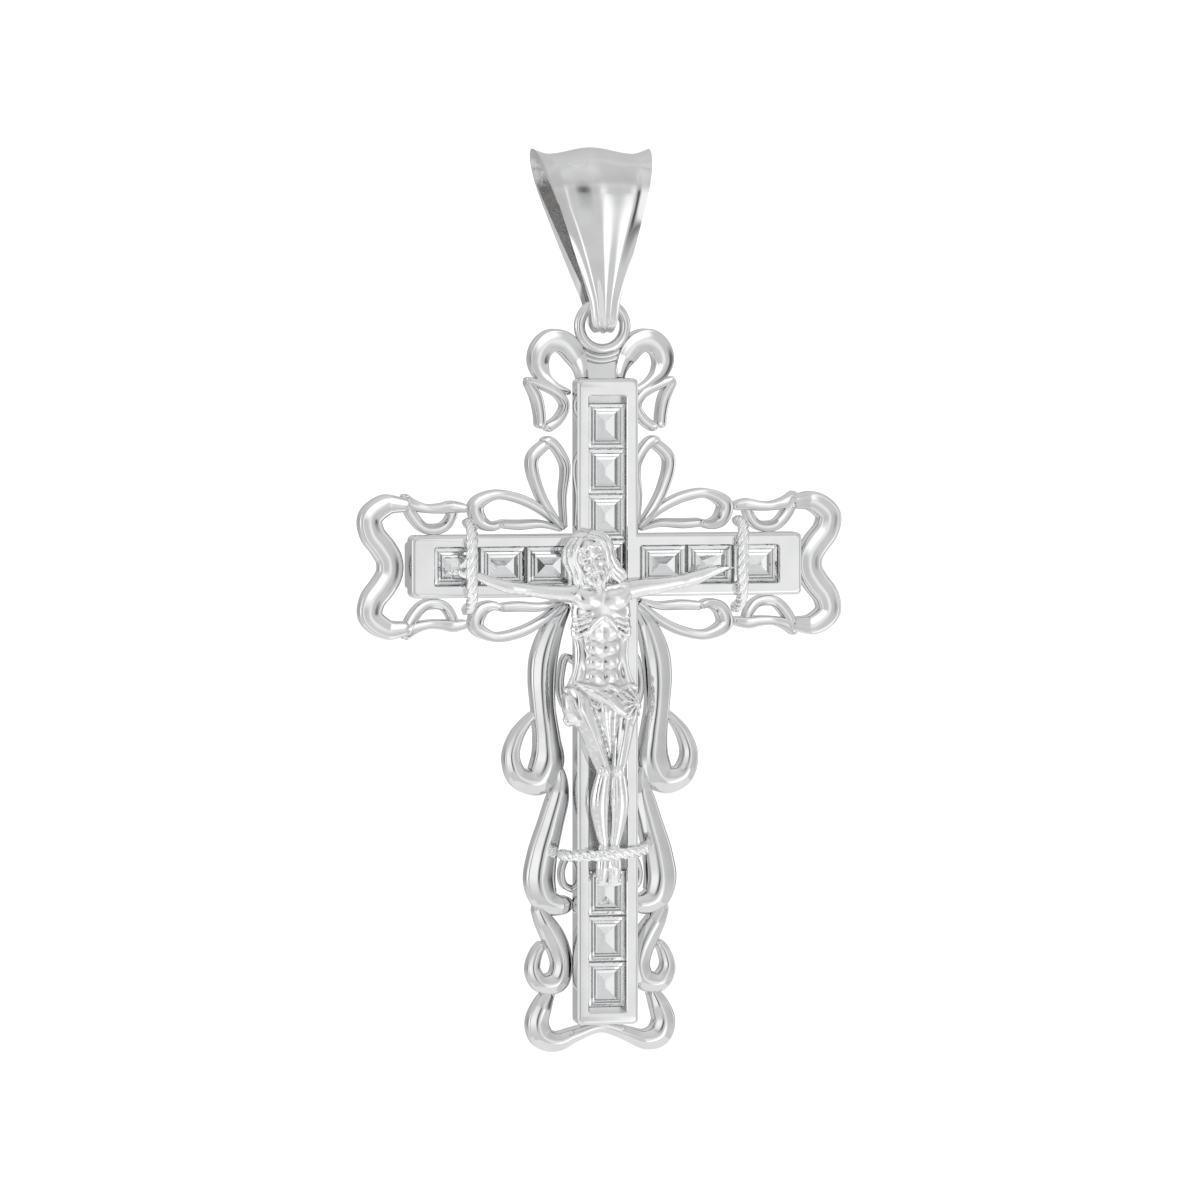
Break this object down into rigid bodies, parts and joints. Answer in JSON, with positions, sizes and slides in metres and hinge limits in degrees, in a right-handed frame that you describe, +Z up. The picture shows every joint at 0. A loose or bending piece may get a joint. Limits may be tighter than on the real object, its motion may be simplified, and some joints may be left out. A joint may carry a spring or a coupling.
{
  "type": "crucifix pendant",
  "caption": "Cross pendant with channel-set stones, filigree ribbon border, tied figure, fixed ring and tapered swinging bail for a neck chain.",
  "frame": {"origin": "where the neck chain bears under the crown of the bail, on the middle line of the cross", "axes": "+Z up along the cross, -Y out of the front with the figure, +X to the right seen from the front"},
  "size_m": [0.041, 0.0091, 0.0755],
  "materials": {
    "polished_metal": "mirror polished white metal",
    "cast_metal": "cast white metal, satin polished with fine texture",
    "clear_stone": "clear step-cut stone"
  },
  "bodies": {
    "bail": {"bail": "polished_metal"},
    "cross": {"hanging_ring": "polished_metal", "crest_plate": "polished_metal", "back_plate": "polished_metal", "channel_cross": "polished_metal", "corpus": "cast_metal", "wrist_rope_left": "cast_metal", "wrist_rope_right": "cast_metal", "ankle_rope": "cast_metal", "foot_crest": "polished_metal", "crest_loop_left": "polished_metal", "crest_loop_right": "polished_metal", "crest_thorn_left": "polished_metal", "crest_thorn_right": "polished_metal", "upper_leaf_left": "polished_metal", "upper_leaf_right": "polished_metal", "arm_scroll_left": "polished_metal", "arm_scroll_right": "polished_metal", "arm_leaf_upper_left": "polished_metal", "arm_leaf_upper_right": "polished_metal", "arm_leaf_lower_left": "polished_metal", "arm_leaf_lower_right": "polished_metal", "arm_thorn_upper_left": "polished_metal", "arm_thorn_upper_right": "polished_metal", "arm_thorn_lower_left": "polished_metal", "arm_thorn_lower_right": "polished_metal", "side_ribbon_left": "polished_metal", "side_ribbon_right": "polished_metal", "inner_scroll_left": "polished_metal", "inner_scroll_right": "polished_metal", "lower_ribbon_left": "polished_metal", "lower_ribbon_right": "polished_metal", "lower_scroll_left": "polished_metal", "lower_scroll_right": "polished_metal", "foot_curl_left": "polished_metal", "foot_curl_right": "polished_metal", "stone_top_1": "clear_stone", "stone_top_2": "clear_stone", "stone_top_3": "clear_stone", "stone_top_4": "clear_stone", "stone_foot_1": "clear_stone", "stone_foot_2": "clear_stone", "stone_foot_3": "clear_stone", "stone_left_1": "clear_stone", "stone_left_2": "clear_stone", "stone_left_3": "clear_stone", "stone_right_1": "clear_stone", "stone_right_2": "clear_stone", "stone_right_3": "clear_stone"}
  },
  "joints": [
    {"name": "bail_swing", "type": "hinge", "parent": "bail", "child": "cross", "pos_m": [0, 0, -0.01206], "axis": [1, 0, 0], "range_deg": [-50, 50]}
  ]
}
